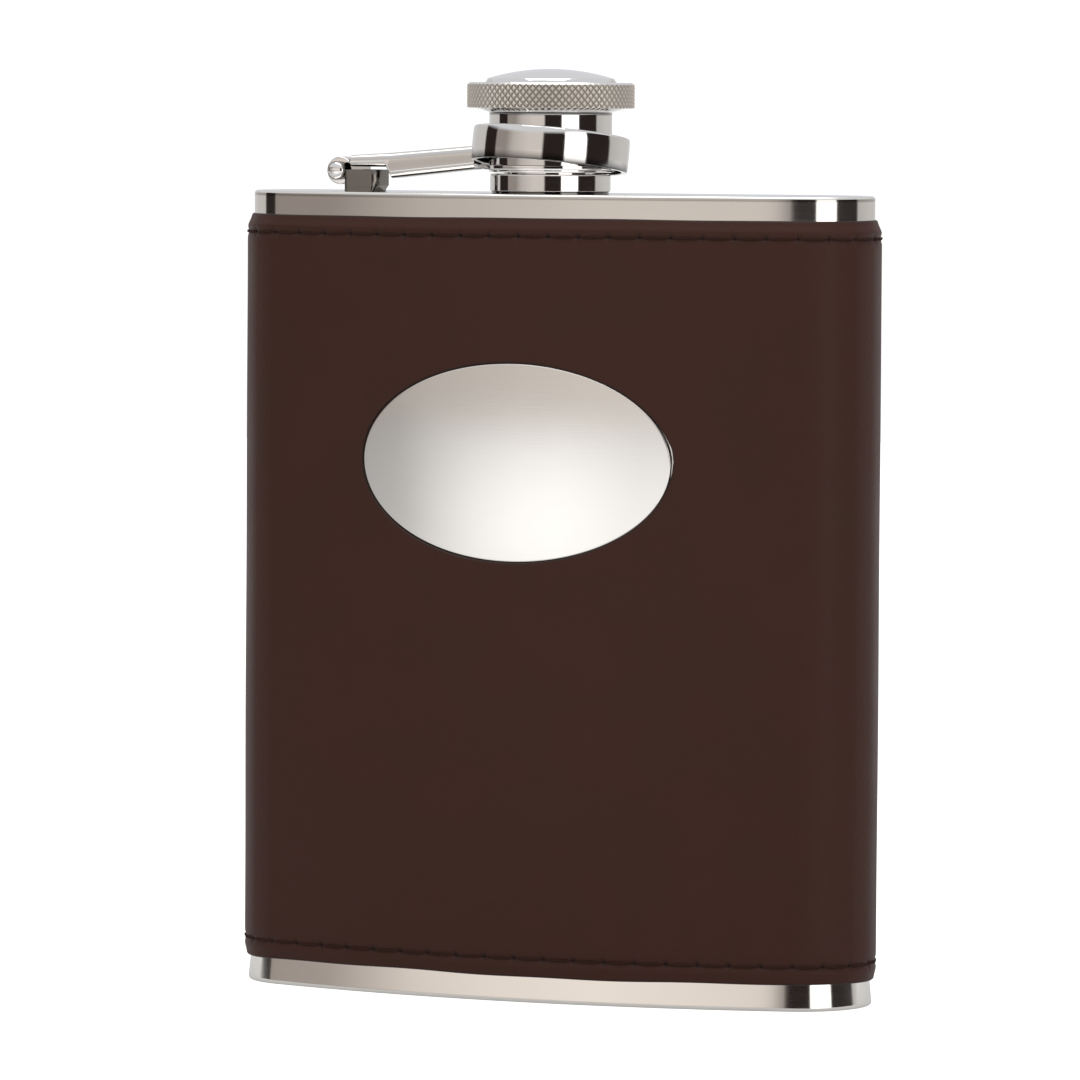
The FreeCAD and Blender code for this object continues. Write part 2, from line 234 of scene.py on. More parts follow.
# Nodes and materials. Colours are linear.
KNURL_TINT = (0.68, 0.61, 0.53)
CHESTNUT = (0.0480, 0.0164, 0.0098)
UMBER = (0.0450, 0.0172, 0.0098)
RUSSET = (0.0510, 0.0166, 0.0111)
PORE_BROWN = (0.037, 0.0152, 0.0104)
BURNISHED_BROWN = (0.022, 0.011, 0.008)
# Painted shade for the needle holes.
HOLE_SHADE = (0.008, 0.004, 0.003)


def feed(tree, target, inputs):
    """Give inputs of a node a socket to link from, or a fixed value."""
    for key, value in inputs.items():
        if isinstance(value, bpy.types.NodeSocket):
            tree.links.new(value, target.inputs[key])
        else:
            target.inputs[key].default_value = value


def node(tree, kind, inputs=(), **settings):
    """Add a node with these inputs and settings."""
    made = tree.nodes.new(kind)
    for key, value in settings.items():
        setattr(made, key, value)
    feed(tree, made, dict(inputs))
    return made


def new_material(name):
    """(material, node tree, Principled shader, coordinates in the flask's frame)"""
    material = bpy.data.materials.new(name)
    material.use_nodes = True
    tree = material.node_tree
    tree.nodes.clear()
    surface = node(tree, "ShaderNodeBsdfPrincipled")
    node(tree, "ShaderNodeOutputMaterial", {"Surface": surface.outputs["BSDF"]})
    place = node(tree, "ShaderNodeTexCoord").outputs["Object"]
    return material, tree, surface, place


def noise(tree, place, scale, detail=2.0, roughness=0.5, stretch=(1, 1, 1)):
    """Noise from 0 to 1 at so many features a metre, stretched by dividing its scale along each axis."""
    squeezed = node(tree, "ShaderNodeMapping", {"Vector": place, "Scale": [scale / s for s in stretch]})
    made = node(tree, "ShaderNodeTexNoise", {
        "Vector": squeezed.outputs["Vector"], "Scale": 1.0, "Detail": detail, "Roughness": roughness})
    return made.outputs["Fac"]


def spread(tree, value, low, high, start=0.0, end=1.0):
    """Value moved from the range start..end to low..high."""
    made = node(tree, "ShaderNodeMapRange", {
        "Value": value, "From Min": start, "From Max": end, "To Min": low, "To Max": high})
    return made.outputs["Result"]


def blend_colour(tree, share, *colours):
    """Colour between two by a share."""
    first, second = (c if isinstance(c, bpy.types.NodeSocket) else (*c, 1) for c in colours)
    return node(tree, "ShaderNodeMix", {0: share, 6: first, 7: second}, data_type="RGBA").outputs[2]


def calculate(tree, operation, first, second):
    """One Math node."""
    return node(tree, "ShaderNodeMath", {0: first, 1: second}, operation=operation).outputs["Value"]


def add_bump(tree, surface, height, strength, depth):
    """Let a height tilt the shading, as if it were so deep."""
    bump = node(tree, "ShaderNodeBump", {"Height": height, "Strength": strength, "Distance": depth})
    feed(tree, surface, {"Normal": bump.outputs["Normal"]})


def marked(tree, name):
    """Value that a mesh carries at its points under a name."""
    return node(tree, "ShaderNodeAttribute", attribute_name=name).outputs["Fac"]


def darker(tint, share):
    """A colour with every channel times a share."""
    return [channel * share for channel in tint]


def steel(name, tint, dull, gloss, brushing, stretch):
    """Stainless steel with faint smears, hairline brushing and a roughness between two values.

    Where the mesh is marked so, the steel is knurled, warmer and duller, or darker: a darker line at the
    shoulder seam, and painted shade in grooves, recesses, corners, knurl valleys and under the arm."""
    material, tree, surface, place = new_material(name)
    smears = noise(tree, place, 45)
    hairlines = noise(tree, place, 9000, stretch=stretch)
    darkening = marked(tree, "grime")
    knurled = marked(tree, "knurled")
    clean = blend_colour(tree, spread(tree, smears, 0, 1, 0.35, 0.7), tint, darker(tint, 0.97))
    dulled = blend_colour(tree, knurled, clean, KNURL_TINT)
    # Darker where marked: a darker line at the shoulder seam, and painted shade in grooves, recesses,
    # corners, knurl valleys and under the arm.
    grimy_and_shaded = blend_colour(tree, darkening, dulled, darker(tint, 0.16))
    worn = spread(tree, smears, dull, gloss, 0.3, 0.7)
    streaked = calculate(tree, "ADD", worn, spread(tree, hairlines, -0.02, 0.02))
    rough = calculate(tree, "ADD", streaked, calculate(tree, "MULTIPLY", knurled, 0.3))
    feed(tree, surface, {"Base Color": grimy_and_shaded, "Metallic": 1.0, "Roughness": rough})
    add_bump(tree, surface, hairlines, brushing, 0.01 * MM)
    return material


def leather():
    """Smooth dark brown leather: fine grain, slow mottling, painted shade in the needle holes, burnished
    edges.
    """
    material, tree, surface, place = new_material("brown_leather")
    mottle = noise(tree, place, 70, detail=3, roughness=0.6)
    warmth = noise(tree, place, 160)
    brown = blend_colour(tree, spread(tree, warmth, 0, 1, 0.3, 0.7), CHESTNUT, UMBER)
    mottled = blend_colour(tree, spread(tree, mottle, 0, 1, 0.3, 0.7), brown, RUSSET)
    pebbles = node(tree, "ShaderNodeTexVoronoi", {"Vector": place, "Scale": 1900.0}, feature="SMOOTH_F1")
    pores = noise(tree, place, 5200)
    creases = noise(tree, place, 700, detail=4, roughness=0.6)
    pressed = marked(tree, "pressed")
    darkening = marked(tree, "cut_edge")
    grained = blend_colour(tree, spread(tree, pores, 0, 0.35, 0.55, 0.8), mottled, PORE_BROWN)
    burnt = blend_colour(tree, darkening, grained, BURNISHED_BROWN)
    # Painted shade in the needle holes, where the mesh carries its pressed mark.
    hole_shaded = blend_colour(tree, pressed, burnt, HOLE_SHADE)
    height = pebbles.outputs["Distance"]
    for layer, share in ((creases, 0.8), (pores, 0.35)):
        height = calculate(tree, "ADD", height, calculate(tree, "MULTIPLY", layer, share))
    add_bump(tree, surface, height, 0.35, 0.06 * MM)
    rough = spread(tree, mottle, 0.42, 0.5, 0.3, 0.7)
    feed(tree, surface, {"Base Color": hole_shaded, "Roughness": rough, "Specular IOR Level": 0.18})
    return material


def thread():
    """Dark brown waxed thread."""
    material, tree, surface, place = new_material("waxed_thread")
    fibres = noise(tree, place, 6000, detail=3)
    colour = blend_colour(tree, fibres, (0.022, 0.0085, 0.0055), (0.044, 0.0155, 0.0100))
    add_bump(tree, surface, fibres, 0.5, 0.03 * MM)
    feed(tree, surface, {"Base Color": colour, "Roughness": 0.75, "Specular IOR Level": 0.15})
    return material


def rubber():
    """Dark grey sealing rubber."""
    material, tree, surface, place = new_material("seal_rubber")
    dust = noise(tree, place, 900, detail=4)
    colour = blend_colour(tree, dust, (0.018, 0.018, 0.019), (0.045, 0.044, 0.043))
    feed(tree, surface, {"Base Color": colour, "Roughness": spread(tree, dust, 0.5, 0.75)})
    return material


SATIN = steel("satin_steel", (0.86, 0.83, 0.79), 0.1, 0.08, 0.05, (60, 60, 1))
POLISHED = steel("polished_steel", (0.88, 0.86, 0.84), 0.065, 0.05, 0.1, (30, 30, 1))
# A darker copy of the polished steel, for the hinge bar.
DARKER_STEEL = steel("darker_steel", (0.73, 0.705, 0.68), 0.1, 0.07, 0.1, (30, 30, 1))
# Dark steel for the bracket: its own unpolished finish, with painted shade from the arm above.
DULL_AND_SHADED = steel("dull_and_shaded_steel", (0.20, 0.185, 0.17), 0.22, 0.15, 0.3, (1, 1, 8))
LEATHER_MATERIAL = leather()
THREAD_MATERIAL = thread()
RUBBER = rubber()


# Mesh helpers.
SAME_PLACE = 0.001 * MM    # points nearer than this are one point


def sheet_of(points, around=False, closed=False):
    """(points, faces) of quads over rows of points.

    around joins the last column to the first, and closed the last row to the first."""
    rows, columns = points.shape[:2]
    index = np.arange(rows * columns).reshape(rows, columns)
    if around:
        index = np.hstack([index, index[:, :1]])
    if closed:
        index = np.vstack([index, index[:1]])
    faces = np.stack([index[:-1, :-1], index[:-1, 1:], index[1:, 1:], index[1:, :-1]], axis=-1)
    return points.reshape(-1, points.shape[2]), faces.reshape(-1, 4).tolist()


def capped(part, count):
    """A part with one more face over its first count points and one over its last."""
    points, faces = part
    return points, faces + [list(range(count)), list(range(len(points) - count, len(points)))]


def joined(parts):
    """One (points, faces) from several."""
    points, faces, count = [], [], 0
    for part_points, part_faces in parts:
        points.append(np.asarray(part_points))
        faces += [[corner + count for corner in face] for face in part_faces]
        count += len(part_points)
    return np.vstack(points), faces


def add_piece(name, part, material, slot, body, replaced, sharp=35, **marks):
    """Make a piece's mesh, mark its points, and let it ride in place of the CAD nodes named."""
    points, faces = part
    mesh = bpy.data.meshes.new(name)
    mesh.from_pydata(np.asarray(points).tolist(), [], faces)
    for key, values in marks.items():
        mesh.attributes.new(key, "FLOAT", "POINT").data.foreach_set("value", np.asarray(values, np.float32))
    work = bmesh.new()
    work.from_mesh(mesh)
    bmesh.ops.remove_doubles(work, verts=work.verts, dist=SAME_PLACE)
    bmesh.ops.recalc_face_normals(work, faces=work.faces)
    work.to_mesh(mesh)
    work.free()
    mesh.shade_smooth()
    mesh.set_sharp_from_angle(angle=math.radians(sharp))
    mesh.materials.append(material)
    piece = placed(name, mesh)
    even = piece.modifiers.new("even_shading", "WEIGHTED_NORMAL")
    even.keep_sharp = True
    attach(piece, body)
    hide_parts(*replaced)
    return piece


# The body's kidney outline, measured along the leather's outside from the middle of the back towards +X.
ARCS = (
    # centre x, centre y, radius, side of the outline's outside, start and end direction
    (0, BACK_CENTRE_Y, BACK_RADIUS, -1, math.pi, math.pi - BACK_HALF_ANGLE),
    (END_X, END_Y, END_RADIUS, 1, -BACK_HALF_ANGLE, math.pi - FRONT_HALF_ANGLE),
    (0, FRONT_CENTRE_Y, FRONT_RADIUS, 1, math.pi - FRONT_HALF_ANGLE, math.pi + FRONT_HALF_ANGLE),
    (-END_X, END_Y, END_RADIUS, 1, math.pi + FRONT_HALF_ANGLE, TURN + BACK_HALF_ANGLE),
    (0, BACK_CENTRE_Y, BACK_RADIUS, -1, math.pi + BACK_HALF_ANGLE, math.pi),
)
ARC_LENGTHS = [abs(end - start) * (radius + side * LEATHER) for _, _, radius, side, start, end in ARCS]
ARC_STARTS = np.concatenate([[0], np.cumsum(ARC_LENGTHS)])
GIRTH = ARC_STARTS[-1]
FRONT_MIDDLE = GIRTH / 2


def on_body(along, z, height):
    """Points that lie a height outside the steel wall, at a distance along the outline and a z."""
    along = np.mod(along, GIRTH)
    along, z, height = np.broadcast_arrays(along, z, height)
    which = np.clip(np.searchsorted(ARC_STARTS, along, side="right") - 1, 0, len(ARCS) - 1)
    centre_x, centre_y, radius, side, start, end = np.array(ARCS)[which].T
    share = (along - ARC_STARTS[which]) / np.array(ARC_LENGTHS)[which]
    angle = start + (end - start) * share
    reach = radius + side * height
    return np.stack([centre_x + reach * np.sin(angle), centre_y + reach * np.cos(angle), z], axis=-1)


def along_front(x):
    """Distance along the outline of a point on the front at x."""
    return FRONT_MIDDLE - np.arcsin(x / FRONT_RADIUS) * (FRONT_RADIUS + LEATHER)


PANEL_ALONG = along_front(PANEL_X)
FAR_FROM_HOLE = 1.0        # margin of the points that no ring round the hole has
WIDENING_RINGS = 6


def pierced_sheet(columns, rows, outline, margins, reach):
    """(along, z, margin) points and faces of a flat sheet over columns and rows, with an oval hole in front.

    outline gives the hole's (x, z) for an angle and a margin outside it. Rings follow the hole at the
    margins, then widen to a rectangle at reach."""
    left, right = np.searchsorted(columns, [PANEL_ALONG - reach[0], PANEL_ALONG + reach[0]])
    low, high = np.searchsorted(rows, [PANEL_Z - reach[1], PANEL_Z + reach[1]])
    grid = np.meshgrid(columns, rows)
    points, faces = sheet_of(np.stack([*grid, np.full_like(grid[0], FAR_FROM_HOLE)], axis=-1))
    window = np.arange(len(points)).reshape(grid[0].shape)[low:high + 1, left:right + 1]
    inside = set(window[:-1, :-1].ravel())
    kept = [face for face in faces if face[0] not in inside]
    edge = points[np.concatenate([window[0, :-1], window[:-1, -1], window[-1, :0:-1], window[:0:-1, 0]])]
    angles = np.arctan2((edge[:, 1] - PANEL_Z) / PANEL_HALF_HEIGHT,
                        (PANEL_ALONG - edge[:, 0]) / PANEL_HALF_WIDTH)
    rings = []
    for margin in margins:
        x, z = outline(angles, margin)
        rings.append(np.stack([along_front(x), z, np.full(len(x), margin)], axis=-1))
    last = rings[-1]
    for step in range(1, WIDENING_RINGS + 1):
        rings.append(last + (edge - last) * (step / WIDENING_RINGS) ** 1.3)
    ring_points, ring_faces = sheet_of(np.array(rings), around=True)
    return joined([(points, kept), (ring_points, [face[::-1] for face in ring_faces])])


def thick_sheet(points, faces, outer, inner):
    """Closed solid between two heights over a flat sheet of (along, z, margin) points."""
    count = len(points)
    solid = [list(face) for face in faces]
    solid += [[corner + count for corner in reversed(face)] for face in faces]
    edges = {(a, b) for face in faces for a, b in zip(face, face[1:] + face[:1])}
    solid += [[b, a, a + count, b + count] for a, b in edges if (b, a) not in edges]
    skin = [on_body(points[:, 0], points[:, 1], outer), on_body(points[:, 0], points[:, 1], inner)]
    return np.vstack(skin), solid


def welded(points, faces):
    """A flat sheet without the points that no face uses, and with those that share a place merged."""
    used = np.unique(np.concatenate(faces))
    keys = np.round(points[used, :2] / SAME_PLACE).astype(np.int64)
    _, first, merged = np.unique(keys, axis=0, return_index=True, return_inverse=True)
    place = dict(zip(used.tolist(), merged.ravel().tolist()))
    return points[used[first]], [[place[corner] for corner in face] for face in faces]


def oval(angles, margin):
    """(x, z) on the pressed panel's oval, grown by a margin."""
    x = PANEL_HALF_WIDTH * np.cos(angles)
    z = PANEL_HALF_HEIGHT * np.sin(angles)
    normal = np.stack([np.cos(angles) / PANEL_HALF_WIDTH, np.sin(angles) / PANEL_HALF_HEIGHT])
    normal /= np.linalg.norm(normal, axis=0)
    return PANEL_X + x + margin * normal[0], PANEL_Z + z + margin * normal[1]


def cut_oval(angles, margin):
    """(x, z) on the leather's window, cut a little uneven, and too wide beside the panel's +X end."""
    slip = 0.03 * MM * np.sin(3 * angles + 0.6) + 0.02 * MM * np.sin(5 * angles)
    slip += WINDOW_SLIP * np.exp(-((angles - 0.12) / 0.22) ** 2)
    return oval(angles, WINDOW_GAP + slip + margin)


def smooth_step(value, start, end):
    """0 before start, 1 after end, and a smooth rise between."""
    share = np.clip((value - start) / (end - start), 0, 1)
    return share * share * (3 - 2 * share)


# Leather sleeve.
HOLE_PITCH = (GIRTH - 2 * FIRST_HOLE) / STITCHES_ROUND
HOLES = FIRST_HOLE + HOLE_PITCH * np.arange(STITCHES_ROUND + 1)
SEAM_LOW = WRAP_LOW + 2 * HEM
SEAM_HIGH = WRAP_HIGH - 2 * HEM
SEAM_HEIGHTS = np.linspace(SEAM_LOW, SEAM_HIGH, SEAM_STITCHES + 1)
SEAM_PITCH = SEAM_HEIGHTS[1] - SEAM_HEIGHTS[0]
EDGE_ROUNDING = 0.3 * MM
TOP_SKIVE = 0.6 * MM       # how much thinner the leather is at its top edge
BOTTOM_SKIVE = 0.3 * MM
HOLE_RADIUS = 0.33 * MM
HOLE_DEPTH = 0.38 * MM
HEM_CREASE = 0.2 * MM
SEAM_CREASE = 0.12 * MM
HEM_PUFF = 0.06 * MM
RIPPLE = 0.035 * MM
THINNEST = 0.12 * MM


def sleeve_columns():
    """Distances along the outline: close together at every needle hole and at the butt seam."""
    beside = np.array([-0.8, -0.28, 0, 0.28, 0.8, 2.1]) * MM
    columns = (HOLES[:, None] + beside[None, :]).ravel()
    seam = SEAM_GAP / 2 + np.array([0, 0.08, 0.2, 0.35]) * MM
    near_seam = np.array([SEAM_REACH - 0.25 * MM, SEAM_REACH, SEAM_REACH + 0.25 * MM])
    start = np.concatenate([seam, near_seam])
    columns = columns[(columns > start[-1] + 0.2 * MM) & (columns < GIRTH - start[-1] - 0.2 * MM)]
    return np.concatenate([start, columns, (GIRTH - start)[::-1]])


def sleeve_rows():
    """Heights: close together at the cut edges, the hem stitches and the seam's needle holes."""
    edge = np.array([0, 0.06, 0.16, 0.32]) * MM
    stitch = HEM + np.array([-0.75, -0.28, 0, 0.28, 0.75]) * MM
    hem = np.concatenate([edge, [0.65 * MM, 1.0 * MM, 1.35 * MM], stitch])
    seam = (SEAM_HEIGHTS[:, None] + np.array([-0.28, 0, 0.28, 2.1])[None, :] * MM).ravel()
    seam = seam[seam < SEAM_HIGH + 0.5 * MM]
    return np.concatenate([WRAP_LOW + hem, seam, (WRAP_HIGH - hem)[::-1]])


def rounded_edge(distance):
    """How far a rounded edge lies under the surface at a distance from the cut."""
    short = np.clip(1 - distance / EDGE_ROUNDING, 0, 1)
    return EDGE_ROUNDING * (1 - np.sqrt(1 - short**2))


def to_nearest(value, first, pitch):
    """Distance to the nearest of the places that lie a pitch apart."""
    return np.abs((value - first + pitch / 2) % pitch - pitch / 2)


def leather_sleeve():
    """Sleeve with rounded cut edges, hems creased by their stitches, needle holes and an uneven window."""
    margins = np.array([0, 0.05, 0.14, 0.3, 0.6, 1.1]) * MM
    reach = (27 * MM, 17.5 * MM)
    flat, faces = welded(*pierced_sheet(sleeve_columns(), sleeve_rows(), cut_oval, margins, reach))
    along, z, margin = flat.T
    to_edge = np.minimum(z - WRAP_LOW, WRAP_HIGH - z)
    to_seam = np.minimum(along, GIRTH - along)
    nearest = np.minimum(np.minimum(to_edge, to_seam - SEAM_GAP / 2), margin)
    from_row = to_edge - HEM
    from_column = to_seam - SEAM_REACH
    inside = (z > SEAM_LOW - HEM / 2) & (z < SEAM_HIGH + HEM / 2)
    hem_hole = np.exp(-(from_row**2 + to_nearest(along, FIRST_HOLE, HOLE_PITCH) ** 2) / HOLE_RADIUS**2)
    seam_hole = np.exp(-(to_nearest(z, SEAM_LOW, SEAM_PITCH) ** 2 + from_column**2) / HOLE_RADIUS**2)
    hole = np.maximum(hem_hole, inside * seam_hole)
    crease = HEM_CREASE * np.exp(-(from_row / (0.42 * MM)) ** 2)
    crease += SEAM_CREASE * np.exp(-(from_column / (0.5 * MM)) ** 2)
    ripple = RIPPLE * np.sin(along / (5.3 * MM) + z / (21 * MM)) * np.sin(z / (9.1 * MM) + 0.7)
    puff = HEM_PUFF * np.exp(-((to_edge - HEM / 2) / (0.9 * MM)) ** 2)
    skived = np.where(z > PANEL_Z, TOP_SKIVE, BOTTOM_SKIVE) * (1 - smooth_step(to_edge, 0.1 * MM, 2.1 * MM))
    outer = LEATHER - rounded_edge(nearest) - crease + ripple + puff - HOLE_DEPTH * hole - skived
    outer = np.maximum(outer, THINNEST)
    wave = 0.09 * np.sin(along / (8.7 * MM)) + 0.05 * np.sin(along / (3.1 * MM) + 1.3)
    shift = wave * MM * np.exp(-to_edge / (2.0 * MM))
    flat[:, 1] += np.where(z < PANEL_Z, shift, -0.4 * shift)
    darkening = 1 - smooth_step(nearest, 0.03 * MM, 0.3 * MM)
    part = thick_sheet(flat, faces, outer, np.zeros(len(flat)))
    # The pressed mark says where the leather paints shade into its needle holes.
    return add_piece("leather_sleeve", part, LEATHER_MATERIAL, "leather", "flask", ["leather_wrap"],
                     sharp=60, pressed=np.tile(hole, 2), cut_edge=np.append(darkening, np.ones(len(darkening))))


# Stitches.
PLY_RADIUS = 0.11 * MM
PLY_TWIST = 1.3 * MM
PLY_SIDES = 7
STITCH_POINTS = 17


def stitch(along, z, slant):
    """Two twisted plies out of one hole, over the leather, a little crooked, and into the next hole."""
    share = np.linspace(0, 1, len(along))
    height = LEATHER - 0.07 * MM - 0.6 * MM * np.abs(2 * share - 1) ** 5
    path = np.stack([along, z + slant * (share - 0.5), height], axis=-1)
    tangent = np.gradient(path, axis=0)
    tangent /= np.linalg.norm(tangent, axis=1)[:, None]
    across = np.cross(tangent, (0, 0, 1))
    across /= np.linalg.norm(across, axis=1)[:, None]
    up = np.cross(across, tangent)
    travelled = np.concatenate([[0], np.cumsum(np.linalg.norm(np.diff(path, axis=0), axis=1))])
    round_ply = TURN * np.arange(PLY_SIDES) / PLY_SIDES
    plies = []
    for phase in (0, math.pi):
        turn = (phase + TURN * travelled / PLY_TWIST)[:, None]
        middle = path + 0.85 * PLY_RADIUS * (np.cos(turn) * across + np.sin(turn) * up)
        rim = PLY_RADIUS * (np.cos(round_ply)[None, :, None] * across[:, None]
                            + np.sin(round_ply)[None, :, None] * up[:, None])
        points, faces = capped(sheet_of(middle[:, None] + rim, around=True), PLY_SIDES)
        plies.append((on_body(*points.T), faces))
    return joined(plies)


def hem_thread(name, z, replaced):
    """Running stitches round a hem."""
    parts = []
    for index, start in enumerate(HOLES[:-1]):
        along = start + HOLE_PITCH * np.linspace(0.05, 0.95, STITCH_POINTS)
        parts.append(stitch(along, z, 0.07 * MM * math.sin(2.1 * index + z / HEM)))
    return add_piece(name, joined(parts), THREAD_MATERIAL, "thread", "flask", [replaced])


def seam_thread():
    """Stitches that close the butt seam at the middle of the back."""
    along = np.linspace(-SEAM_REACH, SEAM_REACH, STITCH_POINTS)
    slants = 0.1 * MM * np.sin(1.7 * np.arange(len(SEAM_HEIGHTS)))
    part = joined([stitch(along, z, slant) for z, slant in zip(SEAM_HEIGHTS, slants)])
    return add_piece("seam_thread", part, THREAD_MATERIAL, "thread", "flask", ["back_seam_stitching"])


# Steel body.
BODY_COLUMNS = 240


def body_tube():
    """Rolled steel tube with the oval panel pressed out of its front, slightly crowned."""
    columns = np.linspace(0, GIRTH, BODY_COLUMNS + 1)
    window = np.arange(PANEL_Z - 18 * MM, PANEL_Z + 18.1 * MM, 1.2 * MM)
    low = PLATE + np.array([0, 0.5, 1.0, 1.5, 2.0, 2.5, 3.0, 3.4, 3.85, 6, 20, 35, 45]) * MM
    high = SHOULDER - PLATE - np.array([0, 0.15, 1.5, 3.0, 10]) * MM
    rows = np.concatenate([low, window, high[::-1]])
    margins = np.array([-0.6, -0.35, -0.25, -0.17, -0.1, -0.05, -0.02, 0.0, 0.03, 0.15, 0.5, 1.2]) * MM
    flat, faces = pierced_sheet(columns, rows, oval, margins, (27 * MM, 17 * MM))
    rim = flat[np.abs(flat[:, 2] - margins[0]) < SAME_PLACE]
    centre = np.array([PANEL_ALONG, PANEL_Z, margins[0]])
    panel = sheet_of(np.array([centre + (rim - centre) * share for share in np.linspace(1, 0, 22) ** 1.7]),
                     around=True)
    flat, faces = welded(*joined([(flat, faces), panel]))
    faces = [list(dict.fromkeys(face)) for face in faces]
    along, z, margin = flat.T
    inside = np.clip(-margin / PANEL_ROUNDING, 0, 1)
    round_edge = PANEL_RISE - PANEL_ROUNDING * (1 - np.sqrt(1 - (1 - inside) ** 2))
    x = PANEL_ALONG - along
    from_middle = (x / PANEL_HALF_WIDTH) ** 2 + ((z - PANEL_Z) / PANEL_HALF_HEIGHT) ** 2
    crown = PANEL_CROWN * np.clip(1 - from_middle, 0, 1) + PANEL_LEAN * (z - PANEL_Z)
    relief = np.where(margin < 0.01 * MM, round_edge + crown, 0)
    part = thick_sheet(flat, faces, relief + foot_flare(z), relief - SHEET)
    grime = np.tile(SEAM_GRIME * (z > SHOULDER - PLATE - 0.05 * MM), 2)
    return add_piece("body_tube", part, SATIN, "satin_steel", "flask", ["body_shell"], grime=grime)


def plate_rim(outward):
    """(height outside the wall, z above the seam) down the rounded edge of an end plate."""
    angles = np.linspace(0, math.pi / 2, 7)
    straight = PLATE - PLATE_ROUNDING
    rim = [(0, 0)]
    rim += [(PLATE_ROUNDING * (math.cos(a) - 1), straight + PLATE_ROUNDING * math.sin(a)) for a in angles]
    return [(height, outward * z) for height, z in rim]


def foot_flare(z):
    """How far the wall spreads towards the foot, which is rolled on a little proud."""
    return FOOT_FLARE * np.clip(1 - z / (WRAP_LOW + FLARE_COVERED), 0, 1)


def foot_plate():
    """Flat foot with a rounded edge."""
    along = np.linspace(0, GIRTH, BODY_COLUMNS, endpoint=False)
    rows = [on_body(along, PLATE + z, height + foot_flare(PLATE + z)) for height, z in plate_rim(-1)]
    part = capped(sheet_of(np.array(rows), around=True), BODY_COLUMNS)
    return add_piece("foot_plate", part, SATIN, "satin_steel", "flask", ["bottom_plate"])


def shoulder_plate():
    """Flat shoulder with a rounded edge and a hole for the neck."""
    along = np.linspace(0, GIRTH, BODY_COLUMNS, endpoint=False)
    seam = SHOULDER - PLATE
    edge = [on_body(along, seam + z, height) for height, z in plate_rim(1)]
    middle = np.array([NECK_X, NECK_Y])
    outward = edge[0][:, :2] - middle
    hole = middle + NECK_RADIUS * outward / np.linalg.norm(outward, axis=1)[:, None]
    shares = np.array([0.02, 0.1, 0.3, 0.5, 0.7, 0.9, 1])
    upper = [inward(edge[-1], hole, share) for share in shares]
    lower = [inward(edge[0], hole, share) for share in shares[::-1]]
    points, faces = sheet_of(np.array(lower + edge + upper), around=True, closed=True)
    grime = SEAM_GRIME * (points[:, 2] < seam + PLATE - PLATE_ROUNDING + 0.02 * MM)
    return add_piece("shoulder_plate", (points, faces), SATIN, "satin_steel", "flask", ["top_plate"],
                     grime=grime)


def inward(points, hole, share):
    """Points moved level towards the neck's hole by a share."""
    moved = points.copy()
    moved[:, :2] += (hole - points[:, :2]) * share
    return moved


# Turned parts.
def rounded(corners, steps=5):
    """Path through (first, second, rounding) corners, with an arc at each one that has a rounding."""
    path = []
    for index, (first, second, rounding) in enumerate(corners):
        corner = Vector((first, second))
        if not rounding or index in (0, len(corners) - 1):
            path.append(tuple(corner))
            continue
        back = (Vector(corners[index - 1][:2]) - corner).normalized()
        ahead = (Vector(corners[index + 1][:2]) - corner).normalized()
        half = back.angle(ahead) / 2
        centre = corner + (back + ahead).normalized() * rounding / math.sin(half)
        start = corner + back * rounding / math.tan(half) - centre
        end = corner + ahead * rounding / math.tan(half) - centre
        sweep = math.pi - 2 * half
        for step in range(steps + 1):
            share = step / steps
            arm = start * math.sin((1 - share) * sweep) + end * math.sin(share * sweep)
            path.append(tuple(centre + arm / math.sin(sweep)))
    return path


def turned(profile, steps=128, relief=None, closed=True, start=0.0, sweep=TURN):
    """Rings of a (radius, height) profile about Z. relief(angle, radius, height) is added to the radius."""
    whole = sweep == TURN
    angles = start + sweep * np.arange(steps if whole else steps + 1) / steps
    radius, height = np.array(profile).T[:, :, None]
    radius = radius + (relief(angles[None, :], radius, height) if relief else 0 * angles[None, :])
    height = height + 0 * angles[None, :]
    rings = np.stack([radius * np.cos(angles), radius * np.sin(angles), height], axis=-1)
    points, faces = sheet_of(rings, around=whole, closed=closed)
    if not whole:
        count = len(angles)
        faces += [[row * count for row in range(len(profile))]]
        faces += [[row * count + count - 1 for row in range(len(profile))]]
    return points, faces


def raised(part):
    """A turned part moved onto the neck's axis, from heights above the shoulder."""
    return part[0] + np.array([NECK_X, NECK_Y, SHOULDER]), part[1]


def thread_ridge(wall_radius, low, high, start, outward):
    """Relief of one turn of screw thread on a wall between two heights, faded out at both ends."""
    def relief(angle, radius, height):
        on_wall = (np.abs(radius - wall_radius) < 1e-6) & (height > low) & (height < high)
        turn = (angle % TURN) / TURN
        away = np.abs(height - start - THREAD_PITCH * turn)
        flank = (THREAD_FOOT / 2 - away) / ((THREAD_FOOT - THREAD_CREST) / 2)
        fade = smooth_step(turn, 0, 0.05) * smooth_step(1 - turn, 0, 0.05)
        return on_wall * outward * THREAD_DEPTH * np.clip(flank, 0, 1) * fade
    return relief


def wall(radius, low, high, rows):
    """Straight upright stretch of a profile, divided into rows."""
    return [(radius, z) for z in np.linspace(low, high, rows + 1)]


